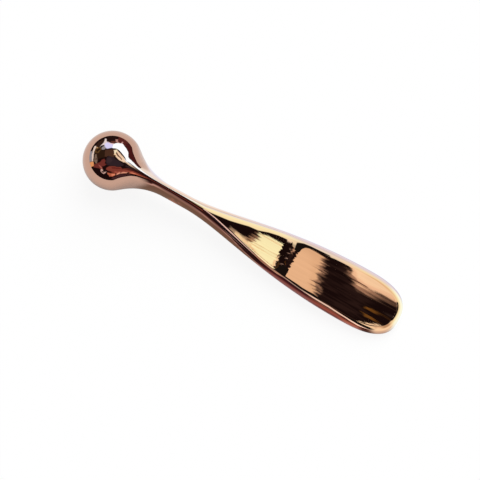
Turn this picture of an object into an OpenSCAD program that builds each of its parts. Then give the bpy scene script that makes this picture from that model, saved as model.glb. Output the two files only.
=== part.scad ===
// A cosmetic applicator wand: a ball and a handle, joined at a flat seat on a hidden pin, brazed
// and polished as one. The handle flares out of the ball into a tall, narrow neck, and its faces
// close towards a flat paddle with a rounded rim and a rounded end. All sizes are in millimetres.
// The wand lies on a table, touching it with the ball and with the rim of the paddle's tip.

/* [Ball] */
// Diameter of the ball
ball_d = 12.7; // [12:0.1:15]

/* [Neck] */
// Width of the slimmest part of the neck, seen from above
neck_w = 2.78; // [2.5:0.02:3.4]
// Length of the neck's part with parallel sides
neck_len = 5; // [2:0.5:12]
// Radius of the hollow curve that leads from the ball into the neck, seen from above
flare_r = 12.7; // [10:0.1:16]
// Radius of the hollow curve that leads from the ball into the neck, seen from the side
crest_r = 14; // [8:0.5:20]
// Angle at which the upper and the lower face close towards the paddle
taper = 4.1; // [3:0.1:4.5]

/* [Paddle] */
// Length over which the neck swells to the paddle's widest place
swell_len = 40.6; // [36:0.1:50]
// How far the swell's curve is drawn out along the neck
swell_lead = 9.3; // [6:0.1:12]
// How far the swell's curve is drawn out ahead of the widest place
swell_tail = 19.9; // [14:0.1:24]
// Distance from the swell's beginning to the place where the flat faces open
flats_lead = 4.2; // [3:0.1:8]
// Length of the rounded end, from the widest place to the tip
end_len = 10.9; // [9:0.1:14]
// Squareness of the rounded end, where 2 is an ellipse
end_power = 2.65; // [2:0.05:3]
// Width of the paddle at its widest place
paddle_w = 12.5; // [11:0.1:15]
// Thickness of the blade, where the faces are parallel
paddle_t = 2.6; // [2.2:0.1:3]
// Length of the blade, from the tip back to the place where the faces begin to rise
blade_len = 27.3; // [24:0.1:30]
// Width of the blade's rounded rim, seen from above
rim_w = 1.4; // [1.2:0.05:1.6]

/* [Joint] */
// Distance from the ball's centre to the seat where ball and handle meet
seat_x = 2.5; // [2:0.1:2.8]
// Diameter of the pin
pin_d = 3; // [2:0.1:3.2]
// Length of the pin, half of it in each piece
pin_len = 8; // [6:0.2:8]
// Chamfer at the pin's ends
pin_chamfer = 0.3; // [0.1:0.05:0.5]
// Gap beyond each end of the pin, at the bottom of its bore
bore_end_gap = 0.3; // [0.1:0.05:0.5]
// Radial clearance of the pin in its bores
pin_clearance = 0.05; // [0.03:0.01:0.08]
// Leg of the chamfers at the seat, which hold the ring of filler
chamfer_leg = 0.4; // [0.3:0.05:0.5]
// Clearance between the ring of filler and the pieces that it joins
filler_clearance = 0.01; // [0.005:0.005:0.02]

/* [Smoothness] */
// Number of flats round one rim
rim_steps = 14; // [8:2:20]
// Number of stations along the hollow curve behind the ball
flare_steps = 18; // [10:2:24]
// Number of stations along the swell
swell_steps = 34; // [20:2:44]
// Number of stations round half of the end
end_steps = 18; // [12:2:24]

/* [Hidden] */
$fn = 96;

plated = [0.87, 0.60, 0.49];
pin_steel = [0.62, 0.62, 0.64];
filler_silver = [0.80, 0.80, 0.78];

// The wand's own axes have the ball's centre at the origin and the tip along +X
ball_r = ball_d / 2;
neck_half_w = neck_w / 2;
half_w = paddle_w / 2;
half_t = paddle_t / 2;

// Seen from above, the hollow curve is an arc that touches the ball and the neck's side
flare_y = neck_half_w + flare_r;
flare_x = sqrt(pow(ball_r + flare_r, 2) - pow(flare_y, 2));
flare_start = flare_x * ball_r / (ball_r + flare_r);

swell_x = flare_x + neck_len;
widest_x = swell_x + swell_len;
tip_x = widest_x + end_len;
blade_x = tip_x - blade_len;
flats_x = swell_x + flats_lead;

// Seen from the side, the arc touches the ball and the closing face
face_offset = (half_t + blade_x * tan(taper)) * cos(taper);
crest_reach = sqrt(pow(ball_r + crest_r, 2) - pow(face_offset + crest_r, 2));
crest_x = crest_reach * cos(taper) + (face_offset + crest_r) * sin(taper);
crest_z = (face_offset + crest_r) * cos(taper) - crest_reach * sin(taper);
crest_start = crest_x * ball_r / (ball_r + crest_r);
face_start = crest_x - crest_r * sin(taper);

// The joint at the seat
pin_r = pin_d / 2;
bore_r = pin_r + pin_clearance;
bore_depth = pin_len / 2 + bore_end_gap;

// The wand lies at the angle at which the ball and the tip's rim touch one level
tip_rim_x = tip_x - rim_w;
lie_a = pow(tip_rim_x, 2) - pow(rim_w, 2) + pow(half_t, 2);
lie_b = ball_r * tip_rim_x;
lie_c = pow(ball_r, 2) - pow(half_t, 2);
lie_angle = asin((lie_b - sqrt(pow(lie_b, 2) - lie_a * lie_c)) / lie_a);
tip_rim_reach = norm([rim_w * cos(lie_angle), half_t * sin(lie_angle)]);
far_x = tip_rim_x * cos(lie_angle) + tip_rim_reach;

// Puts the wand in its resting place, with the middle of its footprint at the origin
module lying() {
    translate([(ball_r - far_x) / 2, 0, ball_r])
        rotate([0, lie_angle, 0])
            children();
}

// Turns a profile of [radius, distance along the wand] round the wand's axis
module turned(profile) {
    rotate([0, 90, 0])
        rotate_extrude()
            polygon(profile);
}

// Half of the height at x: the ball, the hollow curve, the closing face, the blade
function half_h_at(x) =
    x < crest_start ? sqrt(pow(ball_r, 2) - pow(x, 2)) :
    x < face_start ? crest_z - sqrt(pow(crest_r, 2) - pow(x - crest_x, 2)) :
    x < blade_x ? half_t + (blade_x - x) * tan(taper) : half_t;

// Half of the width at x, from the seat to the neck
function flare_w_at(x) =
    x < flare_start ? sqrt(pow(ball_r, 2) - pow(x, 2)) :
    flare_y - sqrt(pow(flare_r, 2) - pow(flare_x - x, 2));

// A cubic curve's value at u, from its four controls
function cubic(u, c) =
    pow(1 - u, 3) * c[0] + 3 * pow(1 - u, 2) * u * c[1] + 3 * (1 - u) * pow(u, 2) * c[2] + pow(u, 3) * c[3];

// The same curve's slope at u
function cubic_slope(u, c) =
    3 * (pow(1 - u, 2) * (c[1] - c[0]) + 2 * (1 - u) * u * (c[2] - c[1]) + pow(u, 2) * (c[3] - c[2]));

// A station of the outline is [x, half-width, outward normal's x, outward normal's y]
function station(x, y, normal) = [x, y, normal[0] / norm(normal), normal[1] / norm(normal)];

// The swell leaves the neck and reaches the widest place parallel to the axis
swell_xs = [swell_x, swell_x + swell_lead, widest_x - swell_tail, widest_x];
swell_ys = [neck_half_w, neck_half_w, half_w, half_w];
function swell_station(u) =
    let (x = cubic(u, swell_xs))
    let (normal = [-cubic_slope(u, swell_ys), cubic_slope(u, swell_xs)])
    station(x, cubic(u, swell_ys), x > flats_x ? normal : [0, 1]);

// The end is a quarter of a superellipse, at the polar angle q from the wand's axis
function end_station(q) =
    let (spread = pow(cos(q) / end_len, end_power) + pow(sin(q) / half_w, end_power))
    let (reach = pow(spread, -1 / end_power))
    let (x = reach * cos(q))
    let (y = reach * sin(q))
    let (normal_x = pow(x, end_power - 1) / pow(end_len, end_power))
    let (normal_y = pow(y, end_power - 1) / pow(half_w, end_power))
    station(widest_x + x, y, [normal_x, normal_y]);

// The stations stand closer together near the ball, where the curves are strong
function flare_station(k) =
    let (x = seat_x + (flare_x - seat_x) * pow(k / flare_steps, 1.3))
    station(x, flare_w_at(x), [0, 1]);

stations = [
    for (k = [0 : flare_steps]) flare_station(k),
    for (k = [0 : swell_steps - 1]) swell_station(k / swell_steps),
    for (k = [0 : end_steps]) end_station(90 * (1 - k / end_steps))
];
last = len(stations) - 1;

// The flats open behind the last station with a full oval section
opening = max([for (i = [0 : last]) if (stations[i][0] <= flats_x) i]);
opening_x = stations[opening][0];
opening_w = stations[opening][1];

// The rim's width at a station: the whole half-width where the section is an oval
function eased(u) = pow(1 - u, 2) * (1 + 2 * u);
function rim_w_at(i) =
    let (u = (stations[i][0] - opening_x) / (blade_x - opening_x))
    i <= opening ? stations[i][1] : rim_w + (opening_w - rim_w) * eased(min(u, 1));

// The flats run out into a line where the section is an oval, and into a point at the tip
function runs_out(i) = i <= opening || i == last;
function flat_edge(i) =
    let (s = stations[i])
    [s[0] - rim_w_at(i) * s[2], runs_out(i) ? 0 : s[1] - rim_w_at(i) * s[3]];

// A point of the rim, at the angle v above its middle, on one side of the wand
function rim_point(i, v, side) =
    let (s = stations[i])
    let (out = rim_w_at(i) * cos(v))
    let (edge = flat_edge(i))
    [edge[0] + out * s[2], side * (edge[1] + out * s[3]), half_h_at(edge[0]) * sin(v)];

// The middle of the upper or lower flat
function spine_point(i, up) = [flat_edge(i)[0], 0, up * half_h_at(flat_edge(i)[0])];

row = rim_steps + 1;
handle_points = [
    for (side = [1, -1]) for (i = [0 : last]) for (j = [0 : rim_steps])
        rim_point(i, 90 - 180 * j / rim_steps, side),
    for (up = [1, -1]) for (i = [0 : last]) spine_point(i, up)
];

// Where a point stands in the list: rims that meet share the first side's points
function shared(i, j) = i == last || (runs_out(i) && (j == 0 || j == rim_steps));
function rim_index(i, j, side) = (side > 0 || shared(i, j) ? i : i + last + 1) * row + j;
function flat_index(i, up) = 2 * (last + 1) * row + (up > 0 ? 0 : last + 1) + i;
function spine_index(i, up) = runs_out(i) ? rim_index(i, up > 0 ? 0 : rim_steps, 1) : flat_index(i, up);

// Two triangles between four corners, without a triangle whose corners meet
function distinct(t) = t[0] != t[1] && t[1] != t[2] && t[2] != t[0];
function halves(q) = [for (t = [[q[0], q[1], q[2]], [q[0], q[2], q[3]]]) if (distinct(t)) t];
function facing(q, side) = side > 0 ? q : [q[3], q[2], q[1], q[0]];
function strip(a, b, c, d, side) = halves(facing([a, b, c, d], side));

handle_faces = [
    for (side = [1, -1]) for (i = [0 : last - 1])
        each strip(spine_index(i, 1), rim_index(i, 0, side),
                   rim_index(i + 1, 0, side), spine_index(i + 1, 1), side),
    for (side = [1, -1]) for (i = [0 : last - 1]) for (j = [0 : rim_steps - 1])
        each strip(rim_index(i, j, side), rim_index(i, j + 1, side),
                   rim_index(i + 1, j + 1, side), rim_index(i + 1, j, side), side),
    for (side = [1, -1]) for (i = [0 : last - 1])
        each strip(rim_index(i, rim_steps, side), spine_index(i, -1),
                   spine_index(i + 1, -1), rim_index(i + 1, rim_steps, side), side),
    concat([for (j = [0 : rim_steps]) rim_index(0, rim_steps - j, 1)],
           [for (j = [1 : rim_steps - 1]) rim_index(0, j, -1)])
];

// The bore for half of the pin, from the seat towards the ball's end or the handle's end,
// with the chamfer at its mouth
module pin_bore(towards) {
    mouth = seat_x - towards * chamfer_leg;
    neck = seat_x + towards * chamfer_leg;
    bottom = seat_x + towards * bore_depth;
    turned([
        [0, mouth],
        [bore_r + 2 * chamfer_leg, mouth],
        [bore_r, neck],
        [bore_r, bottom],
        [0, bottom]
    ]);
}

// A ball with a flat seat for the handle and a blind bore for the pin
module ball() {
    color(plated)
        lying()
            difference() {
                sphere(r = ball_r);
                translate([seat_x, -ball_r, -ball_r])
                    cube([ball_r, ball_d, ball_d]);
                pin_bore(-1);
            }
}

// The flare, the neck and the paddle in one, with a blind bore for the pin in its seat
module handle() {
    color(plated)
        lying()
            difference() {
                polyhedron(points = handle_points, faces = handle_faces, convexity = 4);
                pin_bore(1);
            }
}

// The pin that holds the ball and the handle in line
module joint_pin() {
    start = seat_x - pin_len / 2;
    end = seat_x + pin_len / 2;
    color(pin_steel)
        lying()
            turned([
                [0, start],
                [pin_r - pin_chamfer, start],
                [pin_r, start + pin_chamfer],
                [pin_r, end - pin_chamfer],
                [pin_r - pin_chamfer, end],
                [0, end]
            ]);
}

// The ring of silver filler in the two chamfers round the pin, closed in by the joint
module braze_filler() {
    inner = pin_r + filler_clearance;
    reach = chamfer_leg - filler_clearance;
    shoulder = bore_r - filler_clearance;
    color(filler_silver)
        lying()
            turned([
                [inner, seat_x - reach],
                [shoulder, seat_x - reach],
                [shoulder + reach, seat_x],
                [shoulder, seat_x + reach],
                [inner, seat_x + reach]
            ]);
}

ball();
handle();
joint_pin();
braze_filler();
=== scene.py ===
"""A rose-gold applicator wand on a pale table: its polished ball and handle, worked out as
surfaces from the same sizes as the solids, and the light and the room that they mirror.
Sizes of the wand are in millimetres, in its own axes: the ball's centre at the origin, the tip
along +X, the faces up and down along Z. Everything that goes into Blender is in metres."""
from math import asin, cos, hypot, pi, radians, sin, sqrt, tan

import bpy
import numpy as np
from mathutils import Matrix


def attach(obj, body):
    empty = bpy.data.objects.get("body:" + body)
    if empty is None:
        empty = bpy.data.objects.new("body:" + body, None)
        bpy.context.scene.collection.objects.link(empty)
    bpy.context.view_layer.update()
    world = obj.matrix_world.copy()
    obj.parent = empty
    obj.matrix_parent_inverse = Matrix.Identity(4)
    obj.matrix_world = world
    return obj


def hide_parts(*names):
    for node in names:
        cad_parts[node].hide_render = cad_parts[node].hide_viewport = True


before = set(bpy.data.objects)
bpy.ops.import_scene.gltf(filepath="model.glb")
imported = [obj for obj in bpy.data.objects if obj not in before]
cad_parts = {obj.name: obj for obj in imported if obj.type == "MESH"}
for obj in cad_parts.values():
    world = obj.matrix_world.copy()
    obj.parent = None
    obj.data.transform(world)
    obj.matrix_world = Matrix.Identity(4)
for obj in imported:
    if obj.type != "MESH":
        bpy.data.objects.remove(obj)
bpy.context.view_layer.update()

MM = 0.001

# The wand's sizes, as in the solids
BALL_R = 6.35
SEAT_X = 2.5
NECK_HALF_W = 1.39
NECK_LEN = 5.0
FLARE_R = 12.7
CREST_R = 14.0
TAPER = radians(4.1)
SWELL_LEN = 40.6
SWELL_LEAD = 9.3
SWELL_TAIL = 19.9
FLATS_LEAD = 4.2
END_LEN = 10.9
END_POWER = 2.65
HALF_W = 6.25
HALF_T = 1.3
BLADE_LEN = 27.3
RIM_W = 1.4
BORE_R = 1.55
BORE_DEPTH = 4.3
BORE_CHAMFER = 0.4

# How far from true planes polishing leaves the faces
CROWN_WAVE = 0.026
CROWN_MIDDLE = 56.0
CROWN_LENGTH = 28.0
CROWN_ACROSS = 0.0009
CREASE_WANDER = 0.13
# The crease's waves across the wand: (how high, how fine, start)
CREASE_WAVES = [(1, 5.1, 0.7), (0.8, 9.7, 2.1), (0.7, 16.3, 4.0)]

# How far curves are eased each way where they meet
EASE = 0.9

# How much steeper than an oval's the flanks of the neck's root are: (place along the wand, factor)
FLANK_STEEPER = [(2.6, 1), (3.2, 1.18), (4.3, 1.6), (5.3, 2.1), (6.4, 2.3), (8.5, 2.0), (12.7, 1.4),
                 (18, 1.15), (24, 1)]

# Places along the wand where one curve takes over from another
FLARE_Y = NECK_HALF_W + FLARE_R
FLARE_X = sqrt((BALL_R + FLARE_R) ** 2 - FLARE_Y ** 2)
FLARE_START = FLARE_X * BALL_R / (BALL_R + FLARE_R)
SWELL_X = FLARE_X + NECK_LEN
WIDEST_X = SWELL_X + SWELL_LEN
TIP_X = WIDEST_X + END_LEN
BLADE_X = TIP_X - BLADE_LEN
FLATS_X = SWELL_X + FLATS_LEAD
FACE_OFFSET = (HALF_T + BLADE_X * tan(TAPER)) * cos(TAPER)
CREST_REACH = sqrt((BALL_R + CREST_R) ** 2 - (FACE_OFFSET + CREST_R) ** 2)
CREST_X = CREST_REACH * cos(TAPER) + (FACE_OFFSET + CREST_R) * sin(TAPER)
CREST_Z = (FACE_OFFSET + CREST_R) * cos(TAPER) - CREST_REACH * sin(TAPER)
CREST_START = CREST_X * BALL_R / (BALL_R + CREST_R)
FACE_START = CREST_X - CREST_R * sin(TAPER)


def lying_place():
    """The angle at which the ball and the tip's rim touch the table, and the shift along it that
    puts the middle of the footprint at the origin."""
    rim_x = TIP_X - RIM_W
    a = rim_x ** 2 - RIM_W ** 2 + HALF_T ** 2
    b = BALL_R * rim_x
    c = BALL_R ** 2 - HALF_T ** 2
    angle = asin((b - sqrt(b * b - a * c)) / a)
    far_x = rim_x * cos(angle) + hypot(RIM_W * cos(angle), HALF_T * sin(angle))
    return angle, (BALL_R - far_x) / 2


LIE, SHIFT = lying_place()


# Surfaces

def turned_down(p):
    """Directions in the wand's axes turned about Y by the angle that it lies at."""
    x, y, z = p[..., 0], p[..., 1], p[..., 2]
    return np.stack([x * cos(LIE) + z * sin(LIE), y, z * cos(LIE) - x * sin(LIE)], -1)


def laid(p):
    """Points in the wand's axes, in millimetres, put in their place on the table in metres."""
    return (turned_down(p) + [SHIFT, 0, BALL_R]) * MM


def unit(v):
    """Vectors brought to a length of 1."""
    return v / np.maximum(np.linalg.norm(v, axis=-1, keepdims=True), 1e-12)


def smooth_step(x, start, end):
    """0 before start, 1 after end, and a cubic's S between them."""
    u = np.clip((x - start) / (end - start), 0, 1)
    return u * u * (3 - 2 * u)


def between(x, stops):
    """A value that changes with x: stops are (x, value), with straight lines between."""
    return np.interp(x, *zip(*stops))


def softened(curve, x, reach):
    """The mean of the curve over x plus and minus reach, which eases places where curves meet."""
    return curve(x + np.linspace(-1, 1, 41)[:, None] * reach).mean(0)


def flare_reach(x):
    """How far the flare's curves are eased at x: not at all where they are still the ball."""
    return EASE * smooth_step(x, SEAT_X + 0.1, SEAT_X + 1.6)


def ball_circle(x):
    """The ball's circle: its half width or half height at x."""
    return np.sqrt(np.maximum(BALL_R ** 2 - x ** 2, 0))


def half_height(x):
    """Half of the height: the ball's circle, a hollow arc, the closing face, then the blade."""
    hollow = CREST_Z - np.sqrt(np.maximum(CREST_R ** 2 - (x - CREST_X) ** 2, 0))
    face = HALF_T + np.maximum(BLADE_X - x, 0) * tan(TAPER)
    return np.where(x < CREST_START, ball_circle(x), np.where(x < FACE_START, hollow, face))


def half_width(x):
    """Half of the width up to the neck: the ball's circle, a hollow arc, then the neck's side."""
    hollow = FLARE_Y - np.sqrt(FLARE_R ** 2 - np.minimum(x - FLARE_X, 0) ** 2)
    return np.where(x < FLARE_START, ball_circle(x), hollow)


def height_at(x):
    """Half of the height at x, eased on the flare and where the faces meet the blade."""
    x = np.asarray(x)
    flat = x.ravel()
    reach = flare_reach(flat) + EASE * smooth_step(flat, BLADE_X - 8, BLADE_X - 4)
    return softened(half_height, flat, reach).reshape(x.shape)


def cubic(u, c):
    """A cubic Bezier curve's value at u, from its four controls."""
    return (1 - u) ** 3 * c[0] + 3 * (1 - u) ** 2 * u * c[1] + 3 * (1 - u) * u * u * c[2] + u ** 3 * c[3]


def outline(count):
    """x and y along one side, seen from above: the flare, the neck, a cubic swell, and a quarter
    of a superellipse. Evenly spaced, with the tip at count - 1 and three places beyond it."""
    x = np.linspace(SEAT_X, SWELL_X, 3000, endpoint=False)
    y = softened(half_width, x, flare_reach(x))
    u = np.linspace(0, 1, 8000, endpoint=False)
    swell_x = cubic(u, [SWELL_X, SWELL_X + SWELL_LEAD, WIDEST_X - SWELL_TAIL, WIDEST_X])
    swell_y = cubic(u, [NECK_HALF_W, NECK_HALF_W, HALF_W, HALF_W])
    q = np.radians(np.linspace(90, -8, 5000))
    spread = np.abs(np.cos(q) / END_LEN) ** END_POWER + np.abs(np.sin(q) / HALF_W) ** END_POWER
    end = spread ** (-1 / END_POWER)
    xs = np.concatenate([x, swell_x, WIDEST_X + end * np.cos(q)])
    ys = np.concatenate([y, swell_y, end * np.sin(q)])
    length = np.concatenate([[0], np.cumsum(np.hypot(np.diff(xs), np.diff(ys)))])
    tip = np.interp(0, -ys[-len(q):], length[-len(q):])
    at = tip / (count - 1) * np.arange(count + 3)
    return np.interp(at, length, xs), np.interp(at, length, ys)


def ribs(count):
    """At each place of the outline a rib runs from the middle of the flat to the flat's edge, and
    then round the rim along the outline's normal. Gives the outline's x, the normal, the rim's
    width, the flat's edge, and where the rib starts on the middle line."""
    x, y = outline(count)
    dx, dy = np.gradient(x), np.gradient(y)
    nx = -dy / np.hypot(dx, dy) * smooth_step(x, FLATS_X - 1.5, FLATS_X + 3)
    ny = np.sign(dx) * np.sqrt(1 - nx ** 2)
    oval = (x <= FLATS_X) & (np.arange(len(x)) < count // 2)
    last = np.flatnonzero(oval)[-1]
    ease = np.clip((x - x[last]) / (BLADE_X - x[last]), 0, 1)
    opening = y[last] / ny[last]
    rim = RIM_W + (opening - RIM_W) * (1 - ease) ** 2 * (1 + 2 * ease)
    rim = np.where(oval, y / np.maximum(ny, 0.1), rim)
    edge_x = x - rim * nx
    edge_y = np.where(oval, 0, y - rim * ny)
    s = np.arange(len(x)) / (count - 1)
    turn = np.flatnonzero(edge_x > WIDEST_X - 4)[0]
    late = (s - s[turn]) / (1 - s[turn])
    middle = np.where(s > s[turn], edge_x[turn] + (TIP_X - 5 - edge_x[turn]) * late, edge_x)
    return x, nx, ny, rim, edge_x, edge_y, middle


def ring(quarter):
    """A whole section from its upper right quarter, mirrored down and then across."""
    half = np.concatenate([quarter, quarter[:, -2::-1] * [1, 1, -1]], 1)
    return np.concatenate([half, half[:, -2:0:-1] * [1, -1, 1]], 1)


def crown(x, y):
    """How much lower than a true plane the polished faces are: a long shallow wave along the
    wand, and a faint rounding across it."""
    wave = CROWN_WAVE * (1 - np.cos(2 * pi * (x - CROWN_MIDDLE) / CROWN_LENGTH))
    return (wave + CROWN_ACROSS * y ** 2) * smooth_step(x, FLATS_X, FLATS_X + 8)


def crease_wander(x, y):
    """How much the faces' slope differs from a straight crease's where the closing faces meet the
    blade: there the crease wanders along the wand in fine waves."""
    shift = CREASE_WANDER * sum(high * np.sin(fine * y + start) for high, fine, start in CREASE_WAVES)
    step = 0.02

    def slope(at):
        return (height_at(at + step) - height_at(at - step)) / (2 * step)

    return (slope(x + shift) - slope(x)) * (np.abs(x - BLADE_X) < 4)


def handle_surface(count=400, quarter=54):
    """Points and normals on a grid of [place along the outline, place round the section]. Half
    of a section's height follows height_at, and the rim is a quarter of an ellipse. The normals
    are the surface's, but steeper beside the neck's root, and wavy where the faces meet the blade."""
    x, nx, ny, rim, edge_x, edge_y, middle = (v[:, None] for v in ribs(count))
    h = height_at(edge_x)
    flat = np.hypot(edge_x - middle, edge_y) * 0.6
    arc = pi / 2 * np.sqrt((rim ** 2 + h ** 2) / 2)
    t = np.linspace(0, 1, quarter + 1) * (flat + arc)
    on_flat = t < flat
    part = np.where(on_flat, t / np.maximum(flat, 1e-9), 1)
    v = np.where(on_flat, pi / 2, pi / 2 * (1 - (t - flat) / arc))
    px = middle + (edge_x - middle) * part + rim * nx * np.cos(v)
    py = edge_y * part + rim * ny * np.cos(v)
    pz = (height_at(np.where(on_flat, px, edge_x)) - crown(px, py)) * np.sin(v)
    points = ring(np.stack([px, py, pz], -1))
    along = np.gradient(points, axis=0)
    round_it = np.roll(points, -1, 1) - np.roll(points, 1, 1)
    normals = unit(np.cross(along, round_it))
    steeper = np.ones(normals.shape)
    steeper[..., 1] = between(x, FLANK_STEEPER)
    normals = unit(normals * steeper)
    tilt = crease_wander(points[..., 0], points[..., 1]) * np.abs(normals[..., 2]) ** 8
    normals = unit(normals - tilt[..., None] * [1, 0, 0])
    normals = np.where(x[:, :, None] < SEAT_X + 0.1, unit(points), normals)
    return points[:count], normals[:count]


def bore_rings(seat, sense):
    """Rings from the seat's outer edge into the bore, each a circle about X at the angles of the
    seat's points: the chamfer's mouth, its neck, and the bore's bottom. The sense is 1 into the
    handle and -1 into the ball."""
    angle = unit(seat * [0, 1, 1])
    sizes = [(0, BORE_R + BORE_CHAMFER), (BORE_CHAMFER, BORE_R), (BORE_DEPTH, BORE_R)]
    return [angle * r + [SEAT_X + sense * x, 0, 0] for x, r in sizes]


def ball_surface(rows=120, columns=160):
    """Points and normals of the ball from its far pole to the seat, on a grid of
    [angle from the pole, angle about X]. The first row is the pole."""
    a = np.linspace(0, pi - np.arccos(SEAT_X / BALL_R), rows)[:, None]
    b = 2 * pi * np.arange(columns) / columns
    normals = np.stack([-np.cos(a) + 0 * b, np.sin(a) * np.sin(b), np.sin(a) * np.cos(b)], -1)
    return normals * BALL_R, normals


def grid_faces(index):
    """Quads between the rows of a grid of vertex numbers whose columns run round."""
    nxt = np.roll(index, -1, 1)
    return np.stack([index[:-1], index[1:], nxt[1:], nxt[:-1]], -1).reshape(-1, 4)


def mesh_object(name, points, faces, material):
    """An object at the origin, with its points in metres in its mesh, and one material."""
    mesh = bpy.data.meshes.new(name)
    mesh.from_pydata(points.reshape(-1, 3).tolist(), [], faces)
    mesh.materials.append(material)
    obj = bpy.data.objects.new(name, mesh)
    bpy.context.collection.objects.link(obj)
    return obj


def corners(faces, normals, points):
    """Each face corner's normal: the surface's own, or the flat face's where that is nan. A face
    that names a point twice is a triangle and has that corner once."""
    a, b, c, d = faces.T
    flat = unit(np.cross(points[c] - points[a], points[d] - points[b]))
    own = normals[faces]
    first = np.ones(len(faces), bool)
    once = np.stack([first, b != a, (c != a) & (c != b), (d != a) & (d != b) & (d != c)], -1)
    return turned_down(np.where(np.isnan(own), flat[:, None], own)[once])


def tip_merged(row):
    """Both sides of the last rib are one line over the tip."""
    half = len(row) // 2
    return np.concatenate([row[:half + 1], row[half - 1:0:-1]])


def closed_with_bore(points, sense):
    """A grid closed at its row at the seat by the seat and the bore, and at its other end by the
    ball's pole or the handle's tip: all points, the grid's faces, and those of seat and bore."""
    rows, columns = points.shape[:2]
    index = np.arange(rows * columns).reshape(rows, columns)
    rings = bore_rings(points[0] if sense > 0 else points[-1], sense)
    bottom = np.array([[SEAT_X + sense * BORE_DEPTH, 0, 0]])
    bore = index.size + np.arange(len(rings) * columns).reshape(-1, columns)
    centre = np.full((1, columns), index.size + bore.size)
    if sense < 0:
        index[0] = index[0, 0]
        sharp = np.concatenate([index[-1:], bore, centre])
    else:
        index[-1] = tip_merged(index[-1])
        sharp = np.concatenate([centre, bore[::-1], index[:1]])
    return np.concatenate([points.reshape(-1, 3), *rings, bottom]), grid_faces(index), grid_faces(sharp)


def build(name, points, normals, sense, material):
    """A closed piece: its polished surface, its seat and its bore, with a normal for each corner
    of its faces."""
    everything, smooth, sharp = closed_with_bore(points, sense)
    none = np.full(everything.shape, np.nan)
    own = none.copy()
    own[:normals.size // 3] = normals.reshape(-1, 3)
    each = np.concatenate([corners(smooth, own, everything), corners(sharp, none, everything)])
    faces = [list(dict.fromkeys(face)) for face in np.concatenate([smooth, sharp]).tolist()]
    obj = mesh_object(name, laid(everything), faces, material)
    obj.data.validate()
    obj.data.shade_smooth()
    obj.data.normals_split_custom_set(each.tolist())
    return obj


# Finishes

def group(name, inputs, outputs):
    """An empty shader node group with float inputs and outputs, and its two end nodes."""
    tree = bpy.data.node_groups.new(name, "ShaderNodeTree")
    for label, value in inputs:
        socket = tree.interface.new_socket(label, in_out="INPUT", socket_type="NodeSocketFloat")
        socket.default_value = value
    for label in outputs:
        tree.interface.new_socket(label, in_out="OUTPUT", socket_type="NodeSocketFloat")
    return tree, tree.nodes.new("NodeGroupInput"), tree.nodes.new("NodeGroupOutput")


def noise(tree, vector, scale, detail=2.0, rough=0.5):
    """A noise texture in a tree, read at a vector."""
    node = tree.nodes.new("ShaderNodeTexNoise")
    node.inputs["Scale"].default_value = scale
    node.inputs["Detail"].default_value = detail
    node.inputs["Roughness"].default_value = rough
    tree.links.new(vector, node.inputs["Vector"])
    return node.outputs["Fac"]


def math_node(tree, operation, a, b):
    """The sum, product or the like of two values, each a number or another node's output."""
    node = tree.nodes.new("ShaderNodeMath")
    node.operation = operation
    for socket, value in zip(node.inputs, (a, b)):
        if hasattr(value, "links"):
            tree.links.new(value, socket)
        else:
            socket.default_value = value
    return node.outputs[0]


def lengthwise(tree, stretch):
    """Object coordinates turned into the wand's axes and shortened along it by stretch."""
    place = tree.nodes.new("ShaderNodeTexCoord").outputs["Object"]
    turn = tree.nodes.new("ShaderNodeMapping")
    turn.inputs["Rotation"].default_value = (0, -LIE, 0)
    tree.links.new(place, turn.inputs["Vector"])
    squeeze = tree.nodes.new("ShaderNodeMapping")
    squeeze.inputs["Scale"].default_value = (stretch, 1, 1)
    tree.links.new(turn.outputs[0], squeeze.inputs["Vector"])
    return squeeze.outputs[0]


def polish_group():
    """The marks that lengthwise polishing leaves: broad waves, fine lines and a faint haze."""
    tree, start, end = group("polishing", [("Waves", 1.0), ("Lines", 1.0)], ["Height", "Haze"])
    broad = noise(tree, lengthwise(tree, 0.09), 900, 1.0)
    fine = noise(tree, lengthwise(tree, 0.04), 3800, 2.0)
    waves = math_node(tree, "MULTIPLY", broad, start.outputs["Waves"])
    lines = math_node(tree, "MULTIPLY", fine, start.outputs["Lines"])
    tree.links.new(math_node(tree, "ADD", waves, lines), end.inputs["Height"])
    tree.links.new(noise(tree, lengthwise(tree, 0.3), 260, 4.0, 0.6), end.inputs["Haze"])
    return tree


def scaled(tree, value, low, high):
    """A value from 0 to 1 scaled to run from low to high."""
    node = tree.nodes.new("ShaderNodeMapRange")
    node.inputs["To Min"].default_value = low
    node.inputs["To Max"].default_value = high
    tree.links.new(value, node.inputs["Value"])
    return node.outputs[0]


def new_material(name):
    """A material, its node tree, and the shader in it."""
    material = bpy.data.materials.new(name)
    material.use_nodes = True
    return material, material.node_tree, material.node_tree.nodes["Principled BSDF"]


ROSE_GOLD = (0.72, 0.435, 0.325)
HAZE = 0.02


def plating(name, polishing, waves, lines, bump):
    """Mirror-polished rose-gold plating with lengthwise polishing marks."""
    material, tree, shader = new_material(name)
    shader.inputs["Base Color"].default_value = (*ROSE_GOLD, 1)
    shader.inputs["Metallic"].default_value = 1
    marks = tree.nodes.new("ShaderNodeGroup")
    marks.node_tree = polishing
    marks.inputs["Waves"].default_value = waves
    marks.inputs["Lines"].default_value = lines
    tree.links.new(scaled(tree, marks.outputs["Haze"], 0, HAZE), shader.inputs["Roughness"])
    raised = tree.nodes.new("ShaderNodeBump")
    raised.inputs["Strength"].default_value = 1
    raised.inputs["Distance"].default_value = bump
    tree.links.new(marks.outputs["Height"], raised.inputs["Height"])
    tree.links.new(raised.outputs[0], shader.inputs["Normal"])
    return material


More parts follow.
